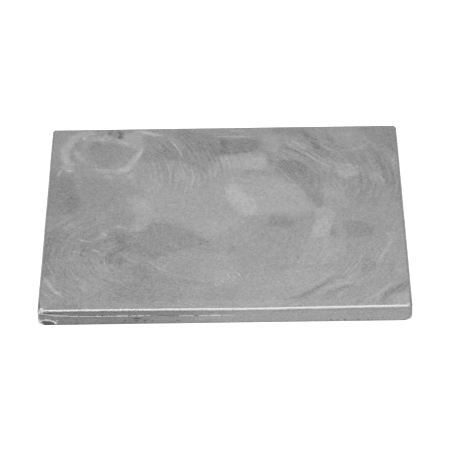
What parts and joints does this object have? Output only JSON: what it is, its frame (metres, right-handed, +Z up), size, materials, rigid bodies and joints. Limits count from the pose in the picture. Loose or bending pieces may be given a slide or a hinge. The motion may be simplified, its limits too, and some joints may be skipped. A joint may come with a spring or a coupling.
{
  "type": "granite slab",
  "caption": "Square honed grey stone slab with eased edges and a shallow saw step on its front face, a flat hard base for tooling and stamping leather.",
  "frame": {"origin": "middle of the underside, at the centre of the bounding box in plan", "axes": "+Z up, through the slab's thickness to the work face; the front face with the saw step looks towards -Y; +X runs to the right along the front face"},
  "size_m": [0.305, 0.305, 0.015],
  "materials": {
    "stone": "honed"
  },
  "bodies": {
    "root": {"slab": "stone"}
  },
  "joints": []
}
